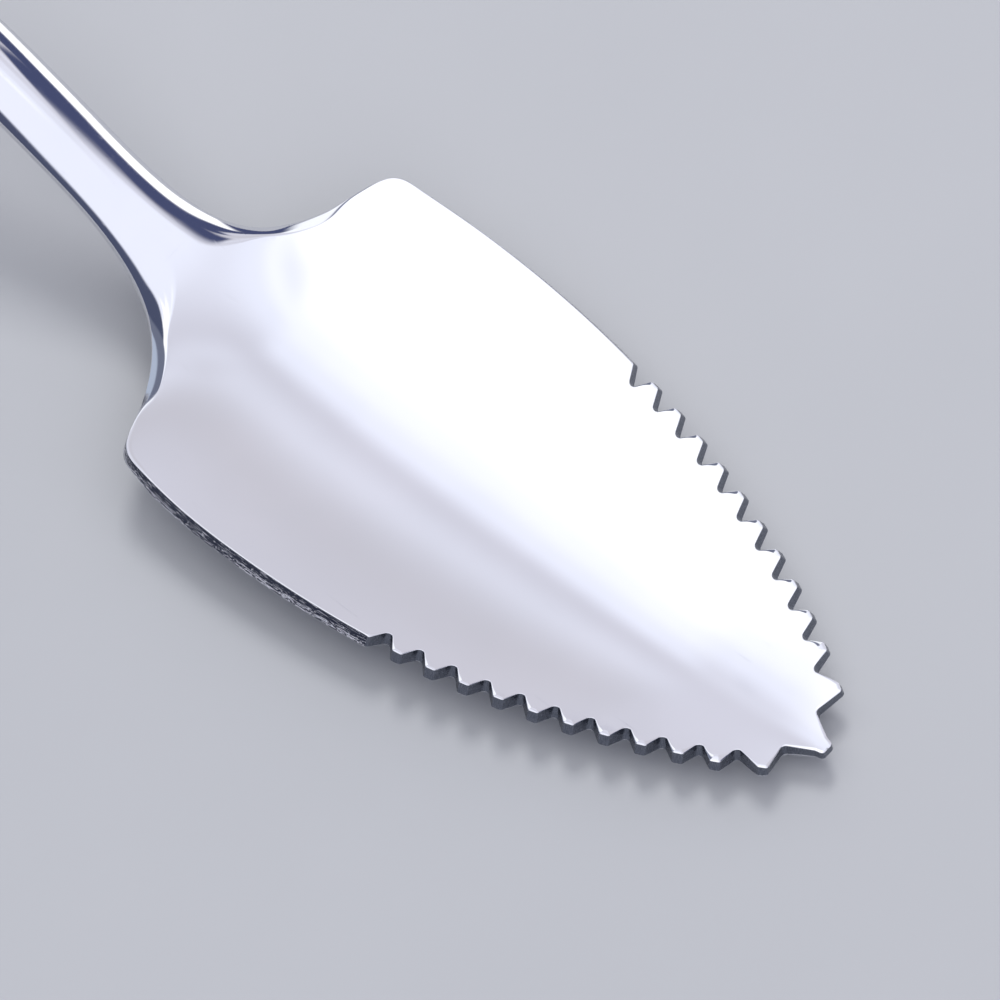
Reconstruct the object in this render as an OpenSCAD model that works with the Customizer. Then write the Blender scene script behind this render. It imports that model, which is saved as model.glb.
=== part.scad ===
// Grapefruit spoon: one stamped and drawn piece of stainless steel.
// A pointed scoop with a saw-toothed front edge on both sides runs through a
// waisted neck into an arched handle. Millimetres, +Z up, as the spoon lies at
// rest: the scoop points to +X, the handle ends at -X, and the origin is under
// the middle of the whole spoon, on the surface it lies on.

/* [Overall] */
// Length over all, from the tip tooth to the end of the handle
overall_len = 172; // [160:1:185]
// Which node is drawn

/* [Scoop] */
// Width of the scoop at its widest
bowl_w = 34.8; // [31:0.2:38]
// Depth of the scoop below its rim, at the widest place
bowl_depth = 4.3; // [3.4:0.1:5.2]
// Thickness of the sheet in the scoop
sheet_t = 1.4; // [1.1:0.1:1.7]
// Distance from the tip to the rear shoulders
shoulder_x = 61; // [60:0.5:62]
// Rise of the rim from the tip to the shoulders, per millimetre
rim_tilt = 0.05; // [0.02:0.01:0.08]
// Sharpness of the keel line, 1 is a round dish and 0.4 is close to a fold
keel = 0.7; // [0.5:0.05:1]

/* [Teeth] */
// Distance from tooth to tooth along the edge
tooth_pitch = 3.06; // [2.86:0.05:3.21]
// Depth of the notches between the teeth
tooth_depth = 1.4; // [1.1:0.05:1.6]
// Blunt width left at the end of each tooth
tooth_land = 0.8; // [0.65:0.05:1.1]
// Radius at the bottom of the notches
root_r = 0.44; // [0.3:0.02:0.5]

/* [Handle] */
// Width of the handle behind the neck
neck_w = 6.4; // [5.4:0.2:7]
// Thickness of the handle behind the neck
neck_t = 3; // [2.4:0.1:3.4]
// Width of the handle near its end
end_w = 14; // [11:0.5:17]
// Thickness of the handle at its end
end_t = 2; // [1.6:0.1:2.4]
// Height of the crown of the handle's arch above the surface it lies on
arch_h = 22; // [20:0.5:24]

/* [Hidden] */
steel = [0.78, 0.79, 0.82];
hw = bowl_w / 2;
eps_cut = 0.04;            // how much is worn flat where the spoon touches
teeth_n = 11;              // teeth on each side, besides the tip tooth
sub_b = 4;                 // cells from the keel to the edge band

// ---- helpers -------------------------------------------------------------
function clamp01(t) = min(1, max(0, t));
function smooth(t) = let (c = clamp01(t)) c * c * (3 - 2 * c);
function mix(a, b, t) = a + (b - a) * t;
function bez(p, t) = let (u = 1 - t)
    u * u * u * p[0] + 3 * u * u * t * p[1] + 3 * u * t * t * p[2] + t * t * t * p[3];
// One cubic Hermite span between the knots a and b, each [x, value, slope]
function herm(a, b, x) = let (h = b[0] - a[0], t = (x - a[0]) / h, t2 = t * t, t3 = t2 * t)
    a[1] * (2 * t3 - 3 * t2 + 1) + a[2] * h * (t3 - 2 * t2 + t)
    + b[1] * (3 * t2 - 2 * t3) + b[2] * h * (t3 - t2);
function spline(k, x, i = 0) =
    x <= k[0][0] ? k[0][1] :
    i >= len(k) - 1 ? k[len(k) - 1][1] :
    x <= k[i + 1][0] ? herm(k[i], k[i + 1], x) : spline(k, x, i + 1);
function unit(v) = v / norm(v);

// ---- plan outline, d = distance behind the tip, y = half width ------------
front = [[50, hw], [21.5, hw], [5, hw * 0.371], [0, 3.5]];
// parameter of the front curve at the distance d
function front_t(d, t = 0.5, n = 0) = n > 9 ? clamp01(t) :
    let (u = 1 - t,
         f = bez(front, t)[0] - d,
         g = 3 * (u * u * (front[1][0] - front[0][0]) + 2 * u * t * (front[2][0] - front[1][0])
                  + t * t * (front[3][0] - front[2][0])))
    front_t(d, min(1, max(0, t - f / g)), n + 1);
function dish_w(d) = d >= 50 ? hw : d > 0 ? bez(front, front_t(d))[1] :
    front[3][1] + d * (front[2][1] - front[3][1]) / front[2][0];

// running length along the front curve, from its tip end
fr_n = 120;
fr_pts = [for (i = [0:fr_n]) bez(front, 1 - i / fr_n)];
function run_len(i) = i == 0 ? 0 : norm(fr_pts[i] - fr_pts[i - 1]);
fr_cum = [for (i = 0, s = 0; i <= fr_n; i = i + 1, s = s + (i <= fr_n ? run_len(i) : 0)) s];
fr_tab = [for (i = [0:fr_n]) [fr_cum[i], 1 - i / fr_n]];
function on_front(s) = bez(front, lookup(s, fr_tab));
s_first = 3.23;               // where the first tooth would stand at the even pitch

// middle of tooth k, counted from the tip along one side; the first one leans
// toward the tip
tip_lean = 0.83;
function tooth_s(k) = s_first + (k - 1) * tooth_pitch - (k == 1 ? tip_lean : 0);
// the blunt ends stand a little outside the smooth front curve
tooth_out = 0.08;
function side(s) = let (t = unit(on_front(s + 0.05) - on_front(s - 0.05))) [-t[1], t[0]];
function land(k, e) = on_front(tooth_s(k) + e) + side(tooth_s(k)) * (k > 1 && k <= teeth_n ? tooth_out : 0);
function land_a(k) = land(k, -tooth_land / 2);
function land_b(k) = land(k, tooth_land / 2);
s_last = tooth_s(teeth_n + 1) - tooth_land / 2;      // where the plain edge starts

// A notch from the corner a to the corner b: straight flanks, round root
function notch(a, b, depth) = let (
    m = (a + b) / 2, w = norm(b - a), t = unit(b - a), n = [t[1], -t[0]],
    half = atan2(w / 2, depth + root_r * (1 / sin(atan2(w / 2, depth)) - 1)),
    c = m + n * (depth - root_r))
    [for (i = [0:4]) let (q = (90 - half) * (i / 2 - 1)) c + root_r * (n * cos(q) + t * sin(q))];

// the tip tooth is a rounded stub that stands out past the front curve
tip_out = 0.7;
tip_half = 0.72;
tip_pts = [[-tip_out, 0], [-tip_out * 0.87, tip_half * 0.5], [-tip_out * 0.4, tip_half * 0.86], [0.12, tip_half]];
rear_d = overall_len - tip_out;                       // the end of the handle
neck_c = [[78, neck_w / 2], [67.4, neck_w / 2], [65.3, 5.3], [shoulder_x + 0.8, 12.8]];
corner_c = [[shoulder_x + 0.8, 12.8], [shoulder_x - 0.4, 15.7], [shoulder_x - 0.7, hw - 0.47], [shoulder_x - 3.2, hw - 0.5]];
function plain_y(d) = hw - 0.5 * pow(clamp01((d - 50) / (shoulder_x - 53.2)), 2);
function grip_y(d) = neck_w / 2 + (end_w - neck_w) / 2 * smooth((d - 88) / (rear_d - 4 - 88));
end_r = 6.2;                                          // length of the rounded end
end_d = rear_d - end_r;

// Outline from the tip to the handle end, each point [d, y, kind]. A cross rib of
// the coarse grid starts at kind 1, at kind 2 on a tooth and at kind 3 in a notch
outline = concat(
    [for (p = tip_pts) [p[0], p[1], p[1] == 0 ? 1 : 0]],
    // the wide notch beside the tip tooth
    [let (n = notch(tip_pts[3], land_a(1), tooth_depth + 0.06)) for (i = [0:4]) [n[i][0], n[i][1], i == 2 ? 3 : 0]],
    [for (k = [1:teeth_n]) each concat(
        [[land_a(k)[0], land_a(k)[1], 0], [land_b(k)[0], land_b(k)[1], 2]],
        [let (n = notch(k > 1 ? land_b(k) : on_front(s_first + tooth_land / 2),
                        k < teeth_n ? land_a(k + 1) : on_front(s_last), tooth_depth))
            for (i = [0:4]) [n[i][0], n[i][1], i == 2 ? 3 : 0]])],
    [[on_front(s_last)[0], on_front(s_last)[1], 1]],
    [for (i = [1:5]) let (p = on_front(mix(s_last, fr_cum[fr_n], i / 5))) [p[0], p[1], 1]],
    [for (i = [1:3]) let (d = mix(50, shoulder_x - 3.2, i / 3)) [d, plain_y(d), 1]],
    [for (i = [1:5]) let (p = bez(corner_c, 1 - i / 5)) [p[0], p[1], 1]],
    [for (i = [1:12]) let (p = bez(neck_c, 1 - i / 12)) [p[0], p[1], 1]],
    [for (i = [1:26]) let (d = mix(78, end_d, i / 26)) [d, grip_y(d), 1]],
    [for (i = [1:7]) let (a = 90 * i / 7) [end_d + end_r * sin(a), max(0, grip_y(end_d) * pow(cos(a), 0.9)), 1]]
);
nf = len(outline);
coarse = [for (i = [0:nf - 1]) if (outline[i][2] > 0) i];
nc = len(coarse);

// ---- the drawn surface ----------------------------------------------------
kk = bowl_depth / hw;
function dish_g(v) = (sqrt(v * v + keel * keel) - keel) / (sqrt(1 + keel * keel) - keel);
function rim_z(d) = rim_tilt * d;
function shallow(d) = mix(0.5, 1, smooth((d + 1) / 15));     // the dish runs out flat at the tip
function sheet(d) = d < 59.5 ? sheet_t : mix(sheet_t, neck_t, smooth((d - 59.5) / 10))
    + (end_t - neck_t) * smooth((d - 92) / 62);
// how far the spoon is raised so that the scoop's lowest place meets z = 0
set_z = sheet_t - min([for (d = [10:1:50]) rim_z(d) - kk * dish_w(d)]) - eps_cut;
// keel line over the tip of the rim, before the spoon is set on its surface
knots = [
    [50, rim_z(50) - bowl_depth, rim_tilt],
    [62, rim_z(62) - bowl_depth + 2.1, 0.5],
    [70, rim_z(70) + 1.9, 0.68],
    [86, 0.83 * arch_h - set_z, 0.48],
    [103, arch_h - set_z, 0],
    [122, 0.8 * arch_h - set_z, -0.019 * arch_h],
    [145, 0.33 * arch_h - set_z, -0.018 * arch_h],
    [rear_d - 8, end_t - set_z - eps_cut, 0],
    [rear_d, end_t - set_z - eps_cut, 0]];
function keel_z(d) = (d <= 50 ? rim_z(d) - kk * dish_w(d) * shallow(d) : spline(knots, d)) + set_z;
function cup(d) = 1 - smooth((d - 59.5) / 8.5);
function top_z(d, y) = let (w = dish_w(d)) keel_z(d) + kk * w * shallow(d) * cup(d) * dish_g(y / w);

// unit normal of the drawn surface, in X, Y and Z
function normal(d, y) = let (h = 0.05,
    gx = -(top_z(d + h, y) - top_z(d - h, y)) / (2 * h),
    gy = (top_z(d, y + h) - top_z(d, y - h)) / (2 * h))
    unit([-gx, -gy, 1]);

// The edge is a small bevel on the cut sheet of the scoop. Behind the neck it
// grows into a crown over the whole width, so the handle is a rounded bar.
function edge_a(d) = mix(0.22, neck_w / 2 - 0.1, smooth((d - 61) / 7));
function edge_h(d) = mix(sheet_t / 2 - 0.12, 0.25, smooth((d - 61) / 6));
// half thickness at the distance g in from the outline; the bevel is a quarter
// ellipse on the scoop and nearly a shallow lens on the handle
function half_t(d, g) = let (a = edge_a(d), e = edge_h(d), u = 1 - clamp01(g / a))
    e + (sheet(d) / 2 - e) * mix(sqrt(1 - u * u), 1 - u * u, 0.75 * smooth((d - 60.5) / 3));

shift = overall_len / 2 - tip_out;
// A point of the skin, h above the middle of the sheet, on the side s of it
function skin(d, y, h, s) = let (n = normal(d, y), t = sheet(d), q = h - t / 2)
    [shift - d + n[0] * q, s * (y + n[1] * q), top_z(d, y) + n[2] * q];

// ---- mesh -----------------------------------------------------------------
// Rings 0 to 3 run along the edge with every outline point. The keel ribs and the
// cells between them use only the coarse points.
ring_q = [0, 28, 54, 78];
s_edge_d = on_front(s_last)[0] + 0.01;
// where the rib of an outline point meets the keel line
function base_d(p) =
    p[1] == 0 && p[0] < 1 ? 2.2 :
    p[0] < 50 ? p[0] + p[1] * 0.45 * (1 - p[0] / 50) :
    p[0] < 78 ? p[0] - max(0, p[1] - neck_w / 2) * 0.25 * smooth((p[0] - 54) / 6) :
    p[0] <= end_d ? p[0] : end_d + (p[0] - end_d) * 0.45;
function inward(p) = let (v = [base_d(p) - p[0], -p[1]]) v / norm(v);
function rib_len(p) = norm([base_d(p) - p[0], -p[1]]);
// the point at the distance g along the rib, [d, y, g]
function along(p, g) = let (v = inward(p)) [p[0] + v[0] * g, max(0, p[1] + v[1] * g), g];
function ring_pt(i, r) = let (p = outline[i]) along(p, min(edge_a(p[0]), 0.97 * rib_len(p)) * (1 - cos(ring_q[r])));
// outer end of a coarse rib, inside of the notches
function rib_end(p) = min(rib_len(p) * 0.9, edge_a(p[0]) * 0.8 + 0.3 + (p[0] < s_edge_d && p[2] < 3 ? tooth_depth * 0.93 : 0));
function cell_pt(c, j) = let (p = outline[coarse[c]]) along(p, mix(rib_len(p), rib_end(p), j / sub_b));

// vertex numbers: side 0 is +Y and side 1 is -Y; face 0 is the top
n_ring = 4 * nf;
n_cell = nc * (sub_b + 1);
n_half = n_ring + n_cell;
// the two sides share the points on the middle plane
function vr(f, s, i, r) = (f * 2 + (i == 0 || i == nf - 1 ? 0 : s)) * n_half + r * nf + i;
function vc(f, s, c, j) = (f * 2 + (j == 0 || c == 0 || c == nc - 1 ? 0 : s)) * n_half + n_ring + c * (sub_b + 1) + j;

points = [for (f = [0, 1]) for (s = [1, -1]) each concat(
    [for (r = [0:3]) for (i = [0:nf - 1]) let (q = ring_pt(i, r))
        skin(q[0], q[1], (f == 0 ? 1 : -1) * half_t(q[0], q[2]), s)],
    [for (c = [0:nc - 1]) for (j = [0:sub_b]) let (q = cell_pt(c, j))
        skin(q[0], q[1], (f == 0 ? 1 : -1) * half_t(q[0], q[2]), s)])];

// a triangle is turned over on the lower skin and on the far side
function tri(f, s, a, b, c) = (f + s) % 2 == 0 ? [a, b, c] : [a, c, b];

faces = concat(
    [for (f = [0, 1]) for (s = [0, 1]) each concat(
        // rounded edge
        [for (r = [0:2]) for (i = [0:nf - 2]) each [
            tri(f, s, vr(f, s, i, r), vr(f, s, i, r + 1), vr(f, s, i + 1, r + 1)),
            tri(f, s, vr(f, s, i, r), vr(f, s, i + 1, r + 1), vr(f, s, i + 1, r))]],
        // band between the edge and the coarse ribs
        [for (c = [0:nc - 2]) let (i0 = coarse[c], i1 = coarse[c + 1], m = floor((i0 + i1 + 1) / 2)) each concat(
            [for (i = [i0:1:m - 1]) tri(f, s, vr(f, s, i, 3), vc(f, s, c, sub_b), vr(f, s, i + 1, 3))],
            [tri(f, s, vr(f, s, m, 3), vc(f, s, c, sub_b), vc(f, s, c + 1, sub_b))],
            [for (i = [m:1:i1 - 1]) tri(f, s, vr(f, s, i, 3), vc(f, s, c + 1, sub_b), vr(f, s, i + 1, 3))])],
        // inner cells; the last rib lies on the middle plane, so its cells are
        // divided the other way
        [for (c = [0:nc - 3]) for (j = [0:sub_b - 1]) each [
            tri(f, s, vc(f, s, c, j), vc(f, s, c + 1, j), vc(f, s, c + 1, j + 1)),
            tri(f, s, vc(f, s, c, j), vc(f, s, c + 1, j + 1), vc(f, s, c, j + 1))]],
        [for (j = [0:sub_b - 1]) each [
            tri(f, s, vc(f, s, nc - 2, j), vc(f, s, nc - 1, j), vc(f, s, nc - 2, j + 1)),
            tri(f, s, vc(f, s, nc - 1, j), vc(f, s, nc - 1, j + 1), vc(f, s, nc - 2, j + 1))]])],
    // cut wall between the two skins
    [for (s = [0, 1]) for (i = [0:nf - 2]) each [
        tri(0, s, vr(0, s, i, 0), vr(0, s, i + 1, 0), vr(1, s, i + 1, 0)),
        tri(0, s, vr(0, s, i, 0), vr(1, s, i + 1, 0), vr(1, s, i, 0))]]
);

module skin_solid() {
    polyhedron(points = points, faces = faces, convexity = 8);
}

module spoon() {
    color(steel) difference() {
        skin_solid();
        // worn flats on the surface that the spoon lies on
        translate([-overall_len, -bowl_w, -8]) cube([2 * overall_len, 2 * bowl_w, 8]);
    }
}

spoon();
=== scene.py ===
import math

import bpy
import numpy as np
from mathutils import Matrix, Vector
from mathutils.geometry import delaunay_2d_cdt


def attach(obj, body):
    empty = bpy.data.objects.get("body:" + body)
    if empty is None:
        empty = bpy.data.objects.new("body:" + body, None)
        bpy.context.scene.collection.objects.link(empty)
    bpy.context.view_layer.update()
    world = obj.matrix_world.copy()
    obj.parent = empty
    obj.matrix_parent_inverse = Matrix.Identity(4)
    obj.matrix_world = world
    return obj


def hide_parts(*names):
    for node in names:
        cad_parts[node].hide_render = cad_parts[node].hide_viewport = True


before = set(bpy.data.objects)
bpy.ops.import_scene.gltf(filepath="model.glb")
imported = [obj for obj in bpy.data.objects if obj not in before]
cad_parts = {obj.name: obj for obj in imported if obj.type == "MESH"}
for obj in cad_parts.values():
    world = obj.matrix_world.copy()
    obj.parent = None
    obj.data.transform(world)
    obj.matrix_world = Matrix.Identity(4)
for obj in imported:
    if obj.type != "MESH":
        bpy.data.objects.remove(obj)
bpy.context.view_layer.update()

# ---------------------------------------------------------------------------
# Shape of the spoon, in millimetres, with the sizes of the CAD part.
# d is the distance behind the front curve's tip and y the distance from the
# middle plane. The spoon is built as one closed fine mesh.
# ---------------------------------------------------------------------------
OVERALL = 172.0
BOWL_W = 34.8
BOWL_DEPTH = 4.3
SHEET_T = 1.4
SHOULDER = 61.0
RIM_TILT = 0.05
KEEL = 0.7
PITCH = 3.06
TOOTH_DEPTH = 1.4
LAND = 0.80
ROOT_R = 0.44
NECK_W = 6.4
NECK_T = 3.0
END_W = 14.0
END_T = 2.0
ARCH_H = 22.0
HW = BOWL_W / 2
EPS_CUT = 0.04
TEETH_N = 11
TIP_OUT = 0.70
TIP_HALF = 0.72
REAR_D = OVERALL - TIP_OUT
SHIFT = OVERALL / 2 - TIP_OUT
END_R = 6.2
END_D = REAR_D - END_R
S_FIRST = 3.23
TIP_LEAN = 0.83
TOOTH_OUT = 0.08
CORNER_R = 0.30            # rounding of the tooth corners


def smooth(t):
    c = np.clip(t, 0.0, 1.0)
    return c * c * (3 - 2 * c)


def mix(a, b, t):
    return a + (b - a) * t


def bez(p, t):
    t = np.asarray(t, float)[..., None]
    u = 1 - t
    p = np.asarray(p, float)
    return u**3 * p[0] + 3 * u * u * t * p[1] + 3 * u * t * t * p[2] + t**3 * p[3]


# front curve of the scoop, as a table from its tip end to the widest place
FRONT = [[50, HW], [21.5, HW], [5, HW * 0.371], [0, 3.5]]
front_tab = bez(FRONT, np.linspace(1, 0, 2401))
front_cum = np.r_[0, np.cumsum(np.hypot(*np.diff(front_tab, axis=0).T))]


def on_front(s):
    s = np.asarray(s, float)
    return np.stack([np.interp(s, front_cum, front_tab[:, 0]),
                     np.interp(s, front_cum, front_tab[:, 1])], -1)


def dish_w_raw(d):
    d = np.asarray(d, float)
    w = np.interp(d, front_tab[:, 0], front_tab[:, 1])
    w = np.where(d >= 50, HW, w)
    return np.where(d <= 0, 3.5 + d * (HW * 0.371 - 3.5) / 5, w)


KK = BOWL_DEPTH / HW


def rim_z(d):
    return RIM_TILT * d


ds = np.arange(10, 51, 1.0)
SET_Z = SHEET_T - np.min(rim_z(ds) - KK * dish_w_raw(ds)) - EPS_CUT
KNOTS = [
    [50, rim_z(50) - BOWL_DEPTH, RIM_TILT],
    [62, rim_z(62) - BOWL_DEPTH + 2.1, 0.5],
    [70, rim_z(70) + 1.9, 0.68],
    [86, 0.83 * ARCH_H - SET_Z, 0.48],
    [103, ARCH_H - SET_Z, 0],
    [122, 0.8 * ARCH_H - SET_Z, -0.019 * ARCH_H],
    [145, 0.33 * ARCH_H - SET_Z, -0.018 * ARCH_H],
    [REAR_D - 8, END_T - SET_Z - EPS_CUT, 0],
    [REAR_D, END_T - SET_Z - EPS_CUT, 0]]


def spline(k, x):
    x = np.asarray(x, float)
    out = np.where(x <= k[0][0], k[0][1], k[-1][1])
    for a, b in zip(k[:-1], k[1:]):
        h = b[0] - a[0]
        t = (x - a[0]) / h
        t2 = t * t
        v = (a[1] * (2 * t2 * t - 3 * t2 + 1) + a[2] * h * (t2 * t - 2 * t2 + t)
             + b[1] * (3 * t2 - 2 * t2 * t) + b[2] * h * (t2 * t - t2))
        out = np.where((x > a[0]) & (x <= b[0]), v, out)
    return out


def shallow(d):
    return mix(0.5, 1, smooth((d + 1) / 15))       # the dish runs out flat at the tip


def keel_raw(d):
    return np.where(d <= 50, rim_z(d) - KK * dish_w_raw(d) * shallow(d), spline(KNOTS, d)) + SET_Z


def cup_raw(d):
    return 1 - smooth((d - 59.5) / 8.5)


def sheet_raw(d):
    return mix(SHEET_T, NECK_T, smooth((d - 59.5) / 10)) + (END_T - NECK_T) * smooth((d - 92) / 62)


# The lengthwise curves are read from tables that are smoothed a little, because
# a polished surface shows every jump of curvature in its reflections.
TAB_STEP = 0.1
tab_d = np.arange(-12, 190, TAB_STEP)


def smoothed(values, sigma):
    n = int(4 * sigma / TAB_STEP)
    k = np.exp(-0.5 * (np.arange(-n, n + 1) * TAB_STEP / sigma) ** 2)
    k /= k.sum()
    left = values[0] + (np.arange(-n, 0)) * (values[1] - values[0])
    right = values[-1] + (np.arange(1, n + 1)) * (values[-1] - values[-2])
    return np.convolve(np.r_[left, values, right], k, mode="valid")


tab_keel = smoothed(keel_raw(tab_d), 1.6)
tab_w = smoothed(dish_w_raw(tab_d), 1.6)
tab_cup = smoothed(cup_raw(tab_d), 1.6)
tab_sheet = smoothed(sheet_raw(tab_d), 1.0)


def cubic_lookup(tab, d):
    """Catmull-Rom reading of a table, so that its slope has no steps."""
    x = (np.asarray(d, float) - tab_d[0]) / TAB_STEP
    i = np.clip(x.astype(int), 1, len(tab) - 3)
    t = x - i
    a, b, c, e = tab[i - 1], tab[i], tab[i + 1], tab[i + 2]
    return b + 0.5 * t * (c - a + t * (2 * a - 5 * b + 4 * c - e + t * (3 * (b - c) + e - a)))


def dish_g(v):
    return (np.sqrt(v * v + KEEL * KEEL) - KEEL) / (math.sqrt(1 + KEEL * KEEL) - KEEL)


def top_z(d, y):
    w = cubic_lookup(tab_w, d)
    return cubic_lookup(tab_keel, d) + KK * w * shallow(d) * cubic_lookup(tab_cup, d) * dish_g(y / w)


def sheet(d):
    return cubic_lookup(tab_sheet, d)


def normal(d, y, h=0.06):
    gx = -(top_z(d + h, y) - top_z(d - h, y)) / (2 * h)
    gy = (top_z(d, y + h) - top_z(d, y - h)) / (2 * h)
    n = np.stack([-gx, -gy, np.ones_like(gx)], -1)
    return n / np.linalg.norm(n, axis=-1, keepdims=True)


def lower(d, y):
    """The underside's middle surface point, one sheet below the top skin."""
    n = normal(d, y)
    p = np.stack([SHIFT - d, y, top_z(d, y)], -1)
    return p - n * sheet(d)[..., None]


def lower_normal(d, y, h=0.08):
    a = lower(d + h, y) - lower(d - h, y)
    b = lower(d, y + h) - lower(d, y - h)
    n = np.cross(a, b)
    n /= np.linalg.norm(n, axis=-1, keepdims=True)
    return np.where(n[..., 2:] > 0, -n, n)


# ---------------------------------------------------------------------------
# Outline of one half, from the tip to the handle's end
# ---------------------------------------------------------------------------
def tooth_s(k):
    return S_FIRST + (k - 1) * PITCH - (TIP_LEAN if k == 1 else 0)


def land(k, e):
    t = on_front(tooth_s(k) + 0.05) - on_front(tooth_s(k) - 0.05)
    side = np.array([-t[1], t[0]]) / np.linalg.norm(t)
    return on_front(tooth_s(k) + e) + side * (TOOTH_OUT if 1 < k <= TEETH_N else 0)


def land_a(k):
    return land(k, -LAND / 2)


def land_b(k):
    return land(k, LAND / 2)


S_LAST = tooth_s(TEETH_N + 1) - LAND / 2


def vee(a, b, depth):
    """Sharp bottom of the notch between the corners a and b."""
    m, w = (a + b) / 2, np.linalg.norm(b - a)
    t = (b - a) / w
    n = np.array([t[1], -t[0]])
    return m + n * (depth + ROOT_R * (1 / math.sin(math.atan2(w / 2, depth)) - 1))


# corners of the toothed stretch: [point, rounding, kind]; kind 0 is the blunt end
# of a tooth and kind 1 the bottom of a notch
corners = [(np.array([-TIP_OUT, 0.0]), 0, 0), (np.array([-TIP_OUT, 0.60]), 0.42, 0),
           (np.array([0.05, TIP_HALF + 0.05]), 0.5, 0),
           (vee(np.array([0.12, TIP_HALF]), land_a(1), TOOTH_DEPTH + 0.06), ROOT_R, 1)]
for k in range(1, TEETH_N + 1):
    corners.append((land_a(k), CORNER_R, 0))
    corners.append((land_b(k), CORNER_R, 0))
    start = land_b(k) if k > 1 else on_front(S_FIRST + LAND / 2)
    stop = land_a(k + 1) if k < TEETH_N else on_front(S_LAST)
    corners.append((vee(start, stop, TOOTH_DEPTH), ROOT_R, 1))


plain = [on_front(np.linspace(S_LAST, front_cum[-1], 500))]
dd = np.linspace(50, SHOULDER - 3.2, 120)[1:]
plain.append(np.stack([dd, HW - 0.5 * np.clip((dd - 50) / (SHOULDER - 53.2), 0, None) ** 2], -1))
corner_c = [[SHOULDER + 0.8, 12.8], [SHOULDER - 0.4, 15.7], [SHOULDER - 0.7, HW - 0.47], [SHOULDER - 3.2, HW - 0.5]]
neck_c = [[78, NECK_W / 2], [67.4, NECK_W / 2], [65.3, 5.3], [SHOULDER + 0.8, 12.8]]
plain.append(bez(corner_c, np.linspace(1, 0, 120)[1:]))
plain.append(bez(neck_c, np.linspace(1, 0, 300)[1:]))
dd = np.linspace(78, END_D, 900)[1:]
plain.append(np.stack([dd, NECK_W / 2 + (END_W - NECK_W) / 2 * smooth((dd - 88) / (REAR_D - 4 - 88))], -1))
aa = np.linspace(0, math.pi / 2, 400)[1:]
y_end = plain[-1][-1][1]
plain.append(np.stack([END_D + END_R * np.sin(aa), y_end * np.maximum(np.cos(aa), 0) ** 0.9], -1))
plain = np.vstack(plain)
ps = np.r_[0, np.cumsum(np.hypot(*np.diff(plain, axis=0).T))]
fine_s = np.arange(0, ps[-1], 0.05)
fine = np.stack([np.interp(fine_s, ps, plain[:, 0]), np.interp(fine_s, ps, plain[:, 1])], -1)
# small rounding of the plain stretch where its pieces meet
kern = np.exp(-0.5 * (np.arange(-40, 41) * 0.05 / 0.6) ** 2)
kern /= kern.sum()
pad0 = 2 * fine[0] - fine[40:0:-1]
pad1 = fine[-2:-42:-1] * [1, -1]
both = np.vstack([pad0, fine, pad1])
fine = np.stack([np.convolve(both[:, i], kern, mode="valid") for i in (0, 1)], -1)
fine[-1] = [REAR_D, 0.0]
fine[:, 1] = np.maximum(fine[:, 1], 0)
corners.append((fine[0], CORNER_R, 0))
corners.append((fine[40], 0, 0))

pts, kind = [], []
for i, (p, r, kd) in enumerate(corners[:-1]):
    if i == 0:
        pts.append(p)
        kind.append(0.0)
    else:
        a, b = corners[i - 1][0], corners[i + 1][0]
        u, v = (a - p), (b - p)
        lu, lv = np.linalg.norm(u), np.linalg.norm(v)
        u, v = u / lu, v / lv
        theta = math.acos(np.clip(u @ v, -1, 1))
        t = min(r / math.tan(theta / 2), 0.46 * lu, 0.46 * lv)
        rr = t * math.tan(theta / 2)
        p0, p1 = p + u * t, p + v * t
        bis = (u + v) / np.linalg.norm(u + v)
        c = p + bis * rr / math.sin(theta / 2)
        a0 = math.atan2(*(p0 - c)[::-1])
        a1 = math.atan2(*(p1 - c)[::-1])
        da = (a1 - a0 + math.pi) % (2 * math.pi) - math.pi
        n = max(3, int(math.ceil(abs(da) / math.radians(9))))
        prev = pts[-1]
        gap = np.linalg.norm(p0 - prev)
        m = max(1, int(round(gap / 0.13)))
        k0 = kind[-1]
        for j in range(1, m):
            pts.append(mix(prev, p0, j / m))
            kind.append(mix(k0, float(kd), j / m))
        for j in range(n + 1):
            q = a0 + da * j / n
            pts.append(c + rr * np.array([math.cos(q), math.sin(q)]))
            kind.append(float(kd))
# plain stretch after the last notch, finer on the neck and at the handle's end
start = pts[-1]
i0 = int(np.argmin(np.hypot(*(fine - start).T))) + 2
i = i0
while i < len(fine) - 1:
    d_here = fine[i][0]
    step = 0.34 if d_here < 56 else 0.22 if d_here < 76 else 0.6 if d_here < END_D - 1 else 0.22
    pts.append(fine[i])
    kind.append(0.0)
    i += max(1, int(round(step / 0.05)))
if np.hypot(*(pts[-1] - fine[-1])) < 0.1:
    pts.pop()
    kind.pop()
pts.append(np.array([REAR_D, 0.0]))
kind.append(0.0)
O = np.array(pts)
OK = np.array(kind)
keep = np.r_[True, np.hypot(*np.diff(O, axis=0).T) > 0.004]
O, OK = O[keep], OK[keep]
O[0] = [-TIP_OUT, 0]
NO = len(O)

# outward direction in plan at each outline point
full = np.vstack([O[1] * [1, -1], O, O[-2] * [1, -1]])
tan = full[2:] - full[:-2]
tan /= np.hypot(*tan.T)[:, None]
OUT = np.stack([-tan[:, 1], tan[:, 0]], -1)     # d and y parts
mid_line = (OUT * (O - [30, 0])).sum(1)
if np.median(mid_line[NO // 2:]) < 0:
    OUT = -OUT
OUT[0], OUT[-1] = [-1, 0], [1, 0]
OS = np.r_[0, np.cumsum(np.hypot(*np.diff(O, axis=0).T))]

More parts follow.
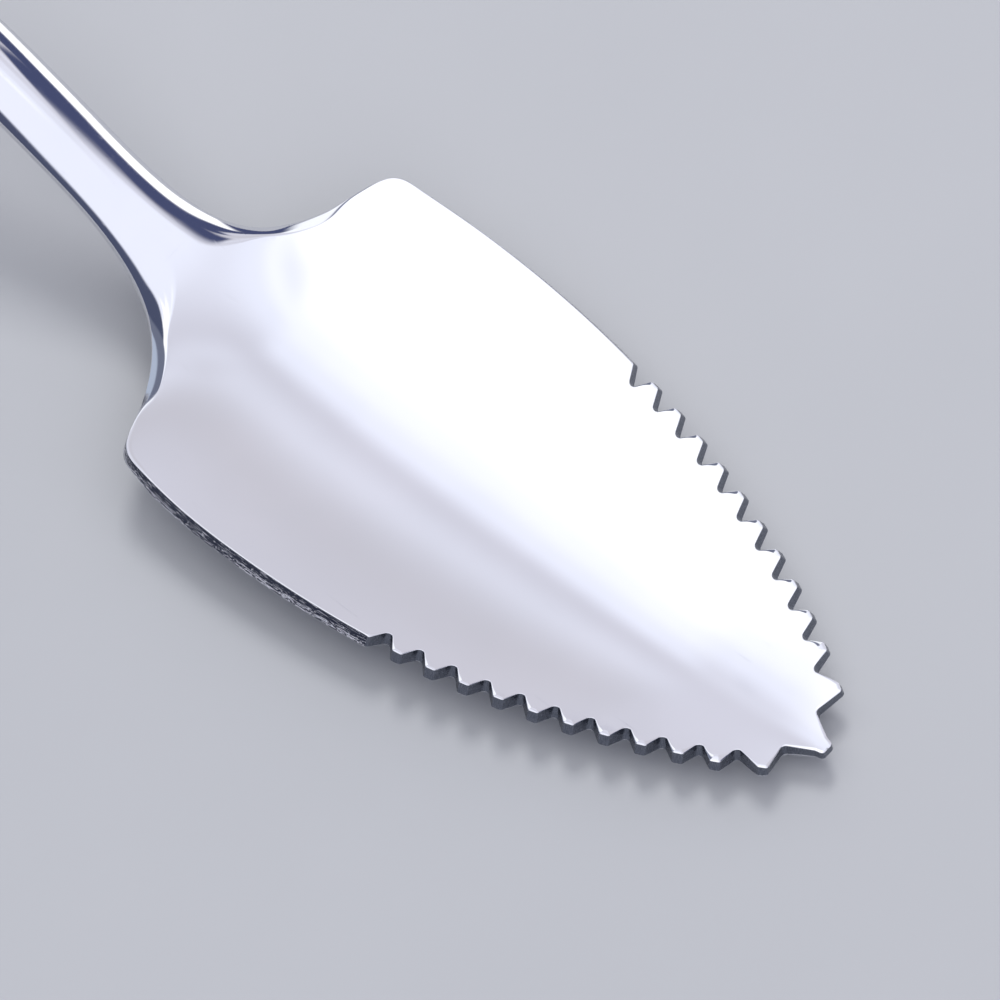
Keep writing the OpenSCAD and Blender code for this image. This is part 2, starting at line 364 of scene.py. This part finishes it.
# Rounded edge along the outline. EA is how far it reaches in from the cut, EH how
# much of the thickness it takes on the upper side and BH on the underside. The
# profile is a blend of a quarter ellipse, a lens and a nearly straight bevel.
last_tooth_i = int(np.where(OK > 0.5)[0].max()) + 12
toothed = (np.arange(NO) < last_tooth_i).astype(float)
end_k = 1 - OK
near_tip = 1 - smooth((O[:, 0] - 1.0) / 2.5)
# the ends of the first teeth are rolled over more than those of the others
first = np.exp(-((OS - np.interp(5.6, O[:, 0], OS)) / 1.5) ** 2)
wide = 0.34 + 0.09 * np.sin(OS * 1.3 + 0.6) + 0.05 * np.sin(OS * 3.1)
EA = np.where(toothed > 0, mix(mix(0.12, 0.22, near_tip), mix(wide, 0.24, near_tip), end_k ** 2), 0.15)
EH = np.where(toothed > 0, mix(mix(0.045, 0.09, near_tip), mix(0.34 * wide, 0.09, near_tip), end_k ** 2), 0.08)
EA = EA + 0.42 * first * end_k ** 2
EH = EH + 0.13 * first * end_k ** 2
BH = np.where(toothed > 0, mix(0.12, 0.20, end_k), 0.12) + 0.30 * near_tip * toothed
turn = smooth((O[:, 0] - 56.5) / 2.0) * smooth((O[:, 1] - 13.4) / 2.0)
EA, BH = EA + 0.34 * turn, BH + 0.36 * turn
thick = cubic_lookup(tab_sheet, O[:, 0])
shoulder = smooth((14.0 - O[:, 1]) / 3.0)
g_neck = smooth((O[:, 0] - 60.8) / 2.4) * shoulder
g_bar = smooth((O[:, 0] - 65.2) / 4.0)
EA = mix(mix(EA, mix(1.05, 0.98, smooth((O[:, 0] - 63.4) / 2.2)), g_neck), NECK_W / 2 - 0.15, g_bar)
EH = mix(mix(EH, thick / 2 - 0.12, g_neck), thick / 2 - 0.25, g_bar)
BH = mix(mix(BH, thick / 2 - 0.12, g_neck), thick / 2 - 0.25, g_bar)
LENS = smooth((O[:, 0] - 60.5) / 2.5) * mix(0.62, 0.82, g_bar)
BEVEL = 0.75 * toothed * end_k ** 2 + 0.9 * g_neck * (1 - smooth((O[:, 0] - 64.2) / 3.2))


def eased(v, n):
    k = np.ones(2 * n + 1) / (2 * n + 1)
    return np.convolve(np.r_[v[n:0:-1], v, v[-2:-n - 2:-1]], k, mode="valid")


EA, EH, BH = eased(EA, 2), eased(EH, 2), eased(BH, 2)
LENS, BEVEL = eased(LENS, 2), eased(BEVEL, 1)
EE = cubic_lookup(tab_sheet, O[:, 0]) / 2 - EH
BE = cubic_lookup(tab_sheet, O[:, 0]) / 2 - BH


def foot(points, chunk=1500):
    """Distance to the outline, the place along it and the way out, by nearest segment."""
    A_, B_ = O[:-1], O[1:]
    AB = B_ - A_
    L2 = (AB**2).sum(1)
    dist, seg, par = [], [], []
    for c0 in range(0, len(points), chunk):
        P = points[c0:c0 + chunk]
        t = ((P[:, None, :] - A_[None]) * AB[None]).sum(-1) / L2[None]
        t = np.clip(t, 0, 1)
        q = A_[None] + t[..., None] * AB[None]
        r = np.hypot(P[:, None, 0] - q[..., 0], P[:, None, 1] - q[..., 1])
        j = r.argmin(1)
        k = np.arange(len(P))
        dist.append(r[k, j])
        seg.append(j)
        par.append(t[k, j])
    return np.concatenate(dist), np.concatenate(seg), np.concatenate(par)


# points of the half plan: outline, rings inside it, a grid and the middle line
RING_Q = np.radians([13, 26, 39, 51, 62, 72, 81, 90])
cloud = [O]
tag = [np.arange(NO)]
ring_edges = []
for r, q in enumerate(RING_Q):
    g = EA * (1 - math.cos(q))
    P = O - OUT * g[:, None]
    sel = (g > 0.016) & (P[:, 1] > 0.1)
    sel[0] = sel[-1] = False
    idx = np.where(sel)[0]
    dist, _, _ = foot(P[idx])
    idx = idx[dist > g[idx] - 0.012]
    # points of a ring that crowd together are thinned in order
    last, kept = None, []
    for i in idx:
        if last is None or i - last > 1 or np.hypot(*(P[i] - P[last])) > 0.03:
            kept.append(i)
            last = i
    base_i = sum(len(c) for c in cloud)
    for n, (i, j) in enumerate(zip(kept[:-1], kept[1:])):
        if j - i <= 2 and np.hypot(*(P[i] - P[j])) < 0.9:
            ring_edges.append((base_i + n, base_i + n + 1))
    cloud.append(P[kept])
    tag.append(np.full(len(kept), -1))
GRID = 0.5
gd = np.arange(-0.5, REAR_D, GRID * math.sqrt(3) / 2)
rows = []
for r, d in enumerate(gd):
    stepx = GRID if d < 90 else 0.7
    yy = np.arange(stepx * (0.5 if r % 2 else 1.0), HW + 1, stepx)
    rows.append(np.stack([np.full(len(yy), d), yy], -1))
grid = np.vstack(rows)
rough_in = (grid[:, 0] < 62) | (grid[:, 1] < 9)
grid = grid[rough_in]
# inside test with the closed half outline
poly = np.vstack([O, [[REAR_D, -0.001], [-TIP_OUT, -0.001]]])


def inside(P):
    x, y = P[:, 0], P[:, 1]
    res = np.zeros(len(P), bool)
    for (x0, y0), (x1, y1) in zip(poly, np.roll(poly, -1, axis=0)):
        if (y0 > y1) == (y0 < y1):
            continue
        c = ((y0 > y) != (y1 > y)) & (x < (x1 - x0) * (y - y0) / (y1 - y0) + x0)
        res ^= c
    return res


grid = grid[inside(grid)]
dist, seg, par = foot(grid)
a_here = EA[seg] * (1 - par) + EA[seg + 1] * par
grid = grid[dist > np.minimum(a_here * 1.0, 1.05) + 0.16 * (a_here < 1.2)]
cloud.append(grid)
tag.append(np.full(len(grid), -1))
mid_d = np.arange(-TIP_OUT + 0.25, REAR_D - 0.15, 0.3)
cloud.append(np.stack([mid_d, np.zeros(len(mid_d))], -1))
tag.append(np.full(len(mid_d), -2))
cloud = np.vstack(cloud)
tag = np.concatenate(tag)
# drop points that lie almost on each other
cell = {}
ok = np.ones(len(cloud), bool)
for i in range(len(cloud)):
    if tag[i] != -1:
        cell.setdefault((round(cloud[i][0] / 0.05), round(cloud[i][1] / 0.05)), []).append(i)
for i in range(len(cloud)):
    if tag[i] != -1:
        continue
    cx, cy = round(cloud[i][0] / 0.05), round(cloud[i][1] / 0.05)
    near = False
    for ax in (-1, 0, 1):
        for ay in (-1, 0, 1):
            for j in cell.get((cx + ax, cy + ay), ()):
                if abs(cloud[i][0] - cloud[j][0]) + abs(cloud[i][1] - cloud[j][1]) < 0.011:
                    near = True
    if near:
        ok[i] = False
    else:
        cell.setdefault((cx, cy), []).append(i)
new_i = np.cumsum(ok) - 1
cloud, tag = cloud[ok], tag[ok]
ring_edges = [(int(new_i[i]), int(new_i[j])) for i, j in ring_edges if ok[i] and ok[j]]
mid_i = np.where(tag == -2)[0]
loop = list(range(NO)) + list(mid_i[::-1])
edges = [(loop[i], loop[(i + 1) % len(loop)]) for i in range(len(loop))] + ring_edges
res = delaunay_2d_cdt([Vector((p[0], p[1])) for p in cloud], edges, [], 1, 1e-7)
V2 = np.array([(v[0], v[1]) for v in res[0]])
TRI = np.array([f for f in res[2] if len(f) == 3])
origin = [o[0] if len(o) else -1 for o in res[3]]
otag = np.array([tag[o] if o >= 0 else -1 for o in origin])
# a triangle is kept when its middle is inside the half outline
cen = V2[TRI].mean(1)
TRI = TRI[inside(cen) & (cen[:, 1] > 0)]
e1 = V2[TRI[:, 1]] - V2[TRI[:, 0]]
e2 = V2[TRI[:, 2]] - V2[TRI[:, 0]]
area = e1[:, 0] * e2[:, 1] - e1[:, 1] * e2[:, 0]
TRI[area < 0] = TRI[area < 0][:, ::-1]
TRI = TRI[np.abs(area) > 1e-9]
used = np.zeros(len(V2), bool)
used[TRI.ravel()] = True

dist, seg, par = foot(V2)
fi = otag >= 0


def along_edge(v):
    w = v[seg] * (1 - par) + v[seg + 1] * par
    w[fi] = v[otag[fi]]
    return w


a_v, h_v, e_v, bh_v, be_v, lens_v, bev_v = (along_edge(v) for v in (EA, EH, EE, BH, BE, LENS, BEVEL))
out_v = OUT[seg] * (1 - par)[:, None] + OUT[seg + 1] * par[:, None]
out_v /= np.maximum(np.hypot(*out_v.T), 1e-9)[:, None]
out_v[fi] = OUT[otag[fi]]
dist[fi] = 0
on_mid = np.abs(V2[:, 1]) < 1e-6
u_v = 1 - np.clip(dist / a_v, 0, 1)
round_v = np.sqrt(np.maximum(1 - u_v**2, 0))
w_e, w_l, w_c = (1 - lens_v) * (1 - bev_v), lens_v * (1 - bev_v), bev_v
profile = w_e * round_v + w_l * (1 - u_v**2) + w_c * (1 - u_v**1.25)
# slope of the profile times the height of the quarter ellipse
slope = w_e * u_v + round_v * (w_l * 2 * u_v + w_c * 1.25 * u_v**0.25)

D_, Y_ = V2[:, 0], V2[:, 1]
N = normal(D_, Y_)
NL = lower_normal(D_, Y_)
T = sheet(D_)
base = np.stack([SHIFT - D_, Y_, top_z(D_, Y_)], -1)


def place(height):
    return base + N * ((height - T / 2)[:, None])


def out3(n, o):
    """The outward direction of the plan laid on the surface with the normal n."""
    v = np.stack([-o[:, 0], o[:, 1], np.zeros(len(o))], -1)
    v = v - n * (v * n).sum(1)[:, None]
    return v / np.maximum(np.linalg.norm(v, axis=1), 1e-9)[:, None]


def skin_normal(n, h):
    v = n * (a_v * round_v)[:, None] + out3(n, out_v) * (h * slope)[:, None]
    flat = u_v <= 0
    v[flat] = n[flat]
    return v / np.linalg.norm(v, axis=1)[:, None]


top_p, bot_p = place(e_v + h_v * profile), place(-(be_v + bh_v * profile))
top_n, bot_n = skin_normal(N, h_v), skin_normal(NL, bh_v)
for n in (top_n, bot_n):
    n[on_mid & ~fi, 1] = 0
    n /= np.linalg.norm(n, axis=1)[:, None]

# wall between the skins, with rows of its own
outline_v = np.full(NO, -1)
for i, t in enumerate(otag):
    if t >= 0:
        outline_v[t] = i
WALL_ROWS = 6


def along_noise(length, step, seed):
    r = np.random.default_rng(seed)
    n = int(length / step) + 3
    v = r.normal(size=n)
    return np.interp(OS, np.arange(n) * step, v)


cut = np.clip(1 - smooth((O[:, 0] - 61.2) / 1.5), 0, 1)
wall_n3 = out3(N[outline_v], OUT)

verts, norms, faces, mats, uvs = [], [], [], [], []


def add(p, n):
    verts.append(p)
    norms.append(n)
    return len(verts) - 1


mirror = np.array([1.0, -1.0, 1.0])
maps = {}
for face in ("top", "bot"):
    P_, N_ = (top_p, top_n) if face == "top" else (bot_p, bot_n)
    idx = np.full((2, len(V2)), -1)
    for i in np.where(used)[0]:
        if on_mid[i]:
            j = add(P_[i] * [1, 0, 1], N_[i] * [1, 0, 1])
            idx[0, i] = idx[1, i] = j
        else:
            idx[0, i] = add(P_[i], N_[i])
            idx[1, i] = add(P_[i] * mirror, N_[i] * mirror)
    maps[face] = idx
for face in ("top", "bot"):
    for s in (0, 1):
        t = maps[face][s][TRI]
        # plan triangles run anticlockwise in d and y; x = -d turns them over
        flip = (face == "top") == (s == 0)
        for a, b, c in t:
            faces.append((c, b, a) if flip else (a, b, c))
            mats.append(0)
wall = np.full((2, WALL_ROWS + 1, NO), -1)
for s in (0, 1):
    wall[s, 0] = maps["top"][s][outline_v]
    wall[s, WALL_ROWS] = maps["bot"][s][outline_v]
for r in range(1, WALL_ROWS):
    f = r / WALL_ROWS
    hh = mix(EE, -BE, f)
    # the lower part of the cut is torn a little, the upper part is smooth
    tear = 0.012 * smooth((f - 0.35) / 0.3) * cut * (along_noise(OS[-1], 0.18, 3 + r) * 0.6 + along_noise(OS[-1], 0.7, 30 + r) * 0.6)
    P_ = base[outline_v] + N[outline_v] * (hh - T[outline_v] / 2)[:, None] + wall_n3 * tear[:, None]
    for i in range(NO):
        if i in (0, NO - 1):
            j = add(P_[i] * [1, 0, 1], wall_n3[i] * [1, 0, 1] / np.linalg.norm(wall_n3[i] * [1, 0, 1]))
            wall[0, r, i] = wall[1, r, i] = j
        else:
            wall[0, r, i] = add(P_[i], wall_n3[i])
            wall[1, r, i] = add(P_[i] * mirror, wall_n3[i] * mirror)
for s in (0, 1):
    for r in range(WALL_ROWS):
        for i in range(NO - 1):
            a, b, c, e = wall[s, r, i], wall[s, r, i + 1], wall[s, r + 1, i + 1], wall[s, r + 1, i]
            faces.append((e, c, b, a) if s == 0 else (a, b, c, e))
            if (O[i][0] + O[i + 1][0]) / 2 > 62.5:
                mats.append(0)
            elif i < last_tooth_i:
                mats.append(2)
            else:
                mats.append(1)
verts = np.array(verts)
norms = np.array(norms)
norms /= np.linalg.norm(norms, axis=1)[:, None]
# nothing goes below the surface that the spoon lies on
verts[:, 2] = np.maximum(verts[:, 2], 0)

mesh = bpy.data.meshes.new("spoon_body")
mesh.from_pydata([tuple(v / 1000) for v in verts], [], faces)
mesh.update()
mesh.polygons.foreach_set("material_index", np.array(mats, np.int32))
mesh.polygons.foreach_set("use_smooth", np.ones(len(faces), bool))
# coordinates along and across the cut, for its scratches
uv_layer = mesh.uv_layers.new(name="edge")
edge_u = np.zeros(len(verts))
edge_v = np.zeros(len(verts))
edge_u[:] = verts[:, 0] / 100
edge_v[:] = verts[:, 1] / 100 + 0.5
for s in (0, 1):
    for r in range(WALL_ROWS + 1):
        for i in range(NO):
            j = wall[s, r, i]
            edge_u[j] = OS[i] / 100 + s * 3
            edge_v[j] = 2 + r / WALL_ROWS * 0.014
loops = np.zeros(len(mesh.loops), np.int32)
mesh.loops.foreach_get("vertex_index", loops)
uv = np.stack([edge_u[loops], edge_v[loops]], -1)
uv_layer.data.foreach_set("uv", uv.astype(np.float32).ravel())
mesh.normals_split_custom_set_from_vertices([tuple(n) for n in norms])
spoon = bpy.data.objects.new("spoon_body", mesh)
bpy.context.scene.collection.objects.link(spoon)
print("spoon mesh", len(verts), "points", len(faces), "faces", "outline", NO)


# ---------------------------------------------------------------------------
# Materials
# ---------------------------------------------------------------------------
class Graph:
    """Short calls for a node tree."""

    def __init__(self, tree):
        self.t = tree
        self.t.nodes.clear()

    def node(self, kind, **inputs):
        n = self.t.nodes.new(kind)
        for k, v in inputs.items():
            self.put(n.inputs[k.replace("_", " ")], v)
        return n

    def put(self, socket, v):
        if isinstance(v, bpy.types.NodeSocket):
            self.t.links.new(v, socket)
        elif isinstance(v, (tuple, list)) and len(v) == 3 and socket.type == "RGBA":
            socket.default_value = (*v, 1)
        else:
            socket.default_value = v

    def math(self, op, a, b=0.0, c=0.0):
        n = self.t.nodes.new("ShaderNodeMath")
        n.operation = op
        for s, v in zip(n.inputs, (a, b, c)):
            self.put(s, v)
        return n.outputs[0]

    def step(self, v, a, b, lo=0.0, hi=1.0):
        n = self.t.nodes.new("ShaderNodeMapRange")
        n.interpolation_type = "SMOOTHSTEP"
        self.put(n.inputs["Value"], v)
        for k, x in (("From Min", a), ("From Max", b), ("To Min", lo), ("To Max", hi)):
            self.put(n.inputs[k], x)
        return n.outputs["Result"]

    def mix(self, f, a, b):
        n = self.t.nodes.new("ShaderNodeMix")
        n.data_type = "RGBA"
        self.put(n.inputs["Factor"], f)
        self.put(n.inputs[6], a)
        self.put(n.inputs[7], b)
        return n.outputs[2]

    def ramp(self, v, stops):
        n = self.t.nodes.new("ShaderNodeValToRGB")
        n.color_ramp.interpolation = "EASE"
        self.put(n.inputs[0], v)
        e = n.color_ramp.elements
        while len(e) < len(stops):
            e.new(0.5)
        for k, (x, c) in zip(e, stops):
            k.position = x
            k.color = (*c, 1)
        return n.outputs[0]

    def scaled(self, c, f):
        n = self.t.nodes.new("ShaderNodeVectorMath")
        n.operation = "SCALE"
        self.put(n.inputs[0], c)
        n.inputs["Scale"].default_value = f
        return n.outputs[0]

    def noise(self, vector, scale, detail=2.0, rough=0.5):
        n = self.t.nodes.new("ShaderNodeTexNoise")
        self.put(n.inputs["Vector"], vector)
        self.put(n.inputs["Scale"], scale)
        self.put(n.inputs["Detail"], detail)
        self.put(n.inputs["Roughness"], rough)
        return n.outputs["Fac"]

    def mapped(self, vector, scale, rot=(0, 0, 0)):
        n = self.t.nodes.new("ShaderNodeMapping")
        self.put(n.inputs["Vector"], vector)
        n.inputs["Scale"].default_value = scale
        n.inputs["Rotation"].default_value = rot
        return n.outputs[0]


def material(name):
    m = bpy.data.materials.new(name)
    m.use_nodes = True
    return m, Graph(m.node_tree)


def polished():
    m, g = material("polished_steel")
    pos = g.node("ShaderNodeTexCoord").outputs["Object"]
    out = g.node("ShaderNodeOutputMaterial")
    b = g.node("ShaderNodeBsdfPrincipled")
    b.inputs["Metallic"].default_value = 1.0
    # a faint film and slow changes of polish
    film = g.noise(pos, 60, 3)
    g.put(b.inputs["Base Color"], g.mix(g.step(film, 0.35, 0.7), (0.80, 0.80, 0.83), (0.77, 0.775, 0.805)))
    haze = g.noise(g.mapped(pos, (30, 90, 60)), 4, 4, 0.6)
    hair = g.noise(g.mapped(pos, (40, 900, 500), (0, 0, 0.12)), 3, 2)
    hair2 = g.noise(g.mapped(pos, (900, 60, 500), (0, 0, 0.5)), 3, 2)
    lines = g.math("MAXIMUM", g.step(hair, 0.63, 0.8), g.step(hair2, 0.68, 0.85))
    r = g.step(haze, 0.3, 0.8, 0.055, 0.105)
    g.put(b.inputs["Roughness"], g.math("MULTIPLY_ADD", lines, 0.10, r))
    slow = g.noise(g.mapped(pos, (1, 1, 1)), 190, 1.5, 0.4)
    bump = g.node("ShaderNodeBump", Strength=0.35, Distance=0.00004, Height=slow)
    bump2 = g.node("ShaderNodeBump", Strength=0.25, Distance=0.000004, Height=lines)
    g.put(bump2.inputs["Normal"], bump.outputs[0])
    g.put(b.inputs["Normal"], bump2.outputs[0])
    g.put(out.inputs["Surface"], b.outputs[0])
    return m


def cut_face_painted_shade():
    m, g = material("cut_edge_painted_shade_steel")
    uvn = g.node("ShaderNodeUVMap")
    uvn.uv_map = "edge"
    uvc = uvn.outputs[0]
    out = g.node("ShaderNodeOutputMaterial")
    b = g.node("ShaderNodeBsdfPrincipled")
    b.inputs["Metallic"].default_value = 1.0
    sep = g.node("ShaderNodeSeparateXYZ", Vector=uvc)
    low = g.step(sep.outputs[1], 2.002, 2.010)
    # long drawn scratches and short chips, more of them on the lower half
    long_ = g.noise(g.mapped(uvc, (64, 1000, 1), (0, 0, 0.03)), 1.0, 3, 0.6)
    chips = g.noise(g.mapped(uvc, (330, 620, 1)), 1.0, 2, 0.55)
    grain = g.noise(g.mapped(uvc, (1200, 1500, 1)), 1.0, 2, 0.6)
    worn = g.noise(g.mapped(uvc, (9, 90, 1)), 1.0, 1, 0.5)
    low = g.math("MULTIPLY", low, g.step(worn, 0.30, 0.62, 0.35, 1.15))
    lines = g.step(g.math("MULTIPLY_ADD", low, 0.07, long_), 0.600, 0.625)
    spots = g.step(g.math("MULTIPLY_ADD", low, 0.10, chips), 0.655, 0.68)
    bright = g.math("MAXIMUM", lines, spots)
    # painted shade: the cut's dark slate base colour stands in for the shaded floor that the cut reflects; the bright
    # scratches and chips over it are real marks
    col = g.mix(bright, (0.050, 0.056, 0.085), (0.95, 0.94, 0.97))
    col = g.mix(g.step(grain, 0.58, 0.75, 0.0, 0.25), col, (0.36, 0.37, 0.43))
    g.put(b.inputs["Base Color"], col)
    g.put(b.inputs["Roughness"], g.math("MULTIPLY_ADD", bright, 0.40, 0.22))
    bump = g.node("ShaderNodeBump", Strength=0.6, Distance=0.00004, Height=g.math("ADD", long_, g.math("MULTIPLY", chips, low)))
    g.put(b.inputs["Normal"], bump.outputs[0])
    g.put(out.inputs["Surface"], b.outputs[0])
    return m


def notch_face_painted_shade():
    m, g = material("notch_painted_shade_steel")
    uvn = g.node("ShaderNodeUVMap")
    uvn.uv_map = "edge"
    uvc = uvn.outputs[0]
    out = g.node("ShaderNodeOutputMaterial")
    b = g.node("ShaderNodeBsdfPrincipled")
    b.inputs["Metallic"].default_value = 1.0
    # the punch leaves fine marks across the sheet's thickness
    marks = g.noise(g.mapped(uvc, (2200, 120, 1)), 1.0, 3, 0.6)
    soft = g.noise(g.mapped(uvc, (200, 400, 1)), 1.0, 2)
    # painted shade: both base tones of the notch walls are darkened to stand in for the shade in the notches; the punch
    # marks that mix the two tones are real
    g.put(b.inputs["Base Color"], g.mix(g.step(marks, 0.4, 0.75), (0.125, 0.138, 0.17), (0.24, 0.25, 0.29)))
    g.put(b.inputs["Roughness"], g.math("MULTIPLY_ADD", soft, 0.16, 0.20))
    bump = g.node("ShaderNodeBump", Strength=0.5, Distance=0.00001, Height=marks)
    g.put(b.inputs["Normal"], bump.outputs[0])
    g.put(out.inputs["Surface"], b.outputs[0])
    return m


for m in (polished(), cut_face_painted_shade(), notch_face_painted_shade()):
    mesh.materials.append(m)

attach(spoon, "root")
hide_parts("spoon")

# ---------------------------------------------------------------------------
# Floor, light and camera
# ---------------------------------------------------------------------------
floor_mesh = bpy.data.meshes.new("floor")
floor_mesh.from_pydata([(-3, -3, -0.00002), (3, -3, -0.00002), (3, 3, -0.00002), (-3, 3, -0.00002)], [], [(0, 1, 2, 3)])
floor = bpy.data.objects.new("floor", floor_mesh)
bpy.context.scene.collection.objects.link(floor)
m, g = material("pale_floor")
out = g.node("ShaderNodeOutputMaterial")
b = g.node("ShaderNodeBsdfPrincipled", Roughness=0.7)
pos = g.node("ShaderNodeTexCoord").outputs["Object"]
g.put(b.inputs["Base Color"], g.mix(g.noise(pos, 40, 3), (0.485, 0.49, 0.50), (0.51, 0.515, 0.525)))
g.put(out.inputs["Surface"], b.outputs[0])
floor_mesh.materials.append(m)

world = bpy.data.worlds.new("studio")
bpy.context.scene.world = world
world.use_nodes = True
g = Graph(world.node_tree)
way = g.node("ShaderNodeTexCoord").outputs["Generated"]
xyz = g.node("ShaderNodeSeparateXYZ", Vector=way)
X, Y, Z = xyz.outputs
# The studio by direction, in six tones: a broad white panel in front and overhead
# that fades to lavender and then to a light grey wall behind, from Y below 0 up to 1.
WHITE = (1.45, 1.45, 1.48)
PALE = (1.22, 1.25, 1.30)
LAVENDER = (1.08, 1.11, 1.25)
VIOLET = (0.90, 0.91, 1.02)
SILVER = (0.82, 0.82, 0.92)
GREY = (0.73, 0.72, 0.79)


def across(*stops):
    """Ramp over Y through the given tones."""
    return g.scaled(g.ramp(g.math("MULTIPLY_ADD", Y, 0.5, 0.5),
                           [((y + 1) / 2, tuple(v / 1.6 for v in c)) for y, c in stops]), 1.6)


colour = across((-0.05, WHITE), (0.16, PALE), (0.32, LAVENDER), (0.47, SILVER), (0.60, VIOLET), (0.76, GREY), (0.90, SILVER))
# the panel turns faintly blue and dimmer toward the left
left = across((-0.25, WHITE), (-0.05, PALE), (0.10, LAVENDER), (0.34, VIOLET), (0.50, SILVER))
colour = g.mix(g.step(X, -0.42, -0.56), colour, left)
colour = g.mix(g.math("MULTIPLY", g.step(X, -0.60, -0.66), g.step(Y, 0.30, 0.38)), colour, PALE)
# the same panel seen further to the right, where it has a second soft fold
right = across((-0.30, WHITE), (0.13, PALE), (0.22, LAVENDER), (0.44, SILVER), (0.54, VIOLET), (0.65, GREY))
right = g.mix(g.math("MULTIPLY", g.step(X, 0.50, 0.60), g.step(Y, 0.50, 0.40)), right, LAVENDER)
right = g.mix(g.math("MULTIPLY", g.step(X, 0.18, 0.36), g.step(Y, 0.14, 0.02)), right, LAVENDER)
right = g.mix(g.math("MULTIPLY", g.step(X, 0.44, 0.52), g.step(Y, 0.26, 0.16)), right, LAVENDER)
colour = g.mix(g.step(X, 0.12, 0.32), colour, right)
# the panel's front edge, and the dark room below it
front = g.math("ADD", g.math("MULTIPLY_ADD", X, 0.38, Y), 0.564)
front = g.math("MULTIPLY_ADD", g.math("MAXIMUM", g.math("SUBTRACT", X, 0.10), 0.0), 0.25, front)
edge = g.math("MAXIMUM", g.math("MULTIPLY", g.step(front, 0.20, 0.11), g.step(X, -0.24, -0.12)),
              g.math("MULTIPLY", g.step(X, 0.06, 0.18), g.step(Y, -0.20, -0.30)))
colour = g.mix(edge, colour, LAVENDER)
DARK = (0.085, 0.10, 0.17)
low = g.step(Y, -0.35, -0.90, 0.0, 0.50)
room = g.math("MAXIMUM", g.step(g.math("SUBTRACT", Z, low), 0.10, -0.02), g.step(front, 0.045, -0.05))
colour = g.mix(room, colour, DARK)
# a grey stand on the far left with a paler side
stand = g.math("MULTIPLY", g.step(X, -0.58, -0.68), g.step(Z, 0.80, 0.72))
stand = g.math("MULTIPLY", stand, g.step(Y, 0.36, 0.26))
colour = g.mix(stand, colour, (0.19, 0.21, 0.29))
side = g.math("MULTIPLY_ADD", Y, -0.10, g.math("MULTIPLY", X, -1.0))
slit = g.math("MULTIPLY", g.step(side, 0.872, 0.905), g.step(Y, 0.36, 0.26))
colour = g.mix(slit, colour, (0.53, 0.60, 0.74))
# dark blue curtain behind, with a bright low strip under it
NAVY = (0.075, 0.09, 0.19)
height = g.math("MULTIPLY_ADD", X, -0.50, g.math("MULTIPLY_ADD", Y, -0.30, Z))
lean = g.math("MULTIPLY_ADD", X, 0.74, g.math("MULTIPLY_ADD", Y, -0.56, g.math("MULTIPLY", Z, -0.37)))
curtain = g.math("MULTIPLY", g.step(height, 0.435, 0.365), g.step(lean, -0.08, -0.34))
curtain = g.math("MULTIPLY", curtain, g.step(X, 0.16, 0.26))
drop = g.math("MULTIPLY_ADD", X, -0.27, Z)
curtain = g.math("MAXIMUM", curtain, g.step(drop, 0.50, 0.44))
behind = g.math("SUBTRACT", Y, g.step(X, 0.10, -0.30, 0.0, 0.30))
curtain = g.math("MULTIPLY", curtain, g.step(behind, 0.28, 0.42))
curtain = g.math("MAXIMUM", curtain, g.step(g.math("MULTIPLY_ADD", Z, -0.6, Y), 0.600, 0.635))
curtain = g.math("MAXIMUM", curtain, g.math("MULTIPLY", g.step(X, 0.03, 0.12), g.step(Y, 0.79, 0.83)))
colour = g.mix(curtain, colour, NAVY)
strip = g.math("MULTIPLY", g.step(Z, 0.33, 0.27), g.math("MULTIPLY", g.step(X, -0.30, -0.16), g.step(Y, 0.60, 0.70)))
colour = g.mix(strip, colour, WHITE)
bg = g.node("ShaderNodeBackground", Color=colour, Strength=1.0)
wout = g.node("ShaderNodeOutputWorld", Surface=bg.outputs[0])

key_data = bpy.data.lights.new("key", "AREA")
key_data.shape = "DISK"
key_data.size = 0.35
key_data.energy = 3.2
key = bpy.data.objects.new("key", key_data)
bpy.context.scene.collection.objects.link(key)
key.location = (-0.25, 0.35, 0.9)
key.rotation_euler = (Vector((0.03, 0, 0)) - key.location).to_track_quat("-Z", "Y").to_euler()
key.visible_glossy = False

cam_data = bpy.data.cameras.new("camera")
cam = bpy.data.objects.new("camera", cam_data)
bpy.context.scene.collection.objects.link(cam)
cam_data.sensor_width = 36.0
cam_data.lens = 653.587
cam_data.clip_start = 0.05
cam_data.clip_end = 20.0


def aim(location, azimuth, elevation, roll):
    """Camera looking down along the azimuth and elevation, turned by roll, in degrees."""
    a, e, r = (math.radians(v) for v in (azimuth, elevation, roll))
    f = Vector((-math.sin(a) * math.cos(e), math.cos(a) * math.cos(e), -math.sin(e)))
    right = Vector((math.cos(a), math.sin(a), 0))
    up = right.cross(f)
    r2 = right * math.cos(r) + up * math.sin(r)
    u2 = -right * math.sin(r) + up * math.cos(r)
    m = Matrix((r2, u2, -f)).transposed().to_4x4()
    m.translation = Vector(location)
    return m


cam.matrix_world = aim((0.6042672, -0.4719341, 1.2750658), 49.52806, 60.20879, -9.40074)
bpy.context.scene.camera = cam
bpy.context.scene.view_settings.view_transform = "Standard"
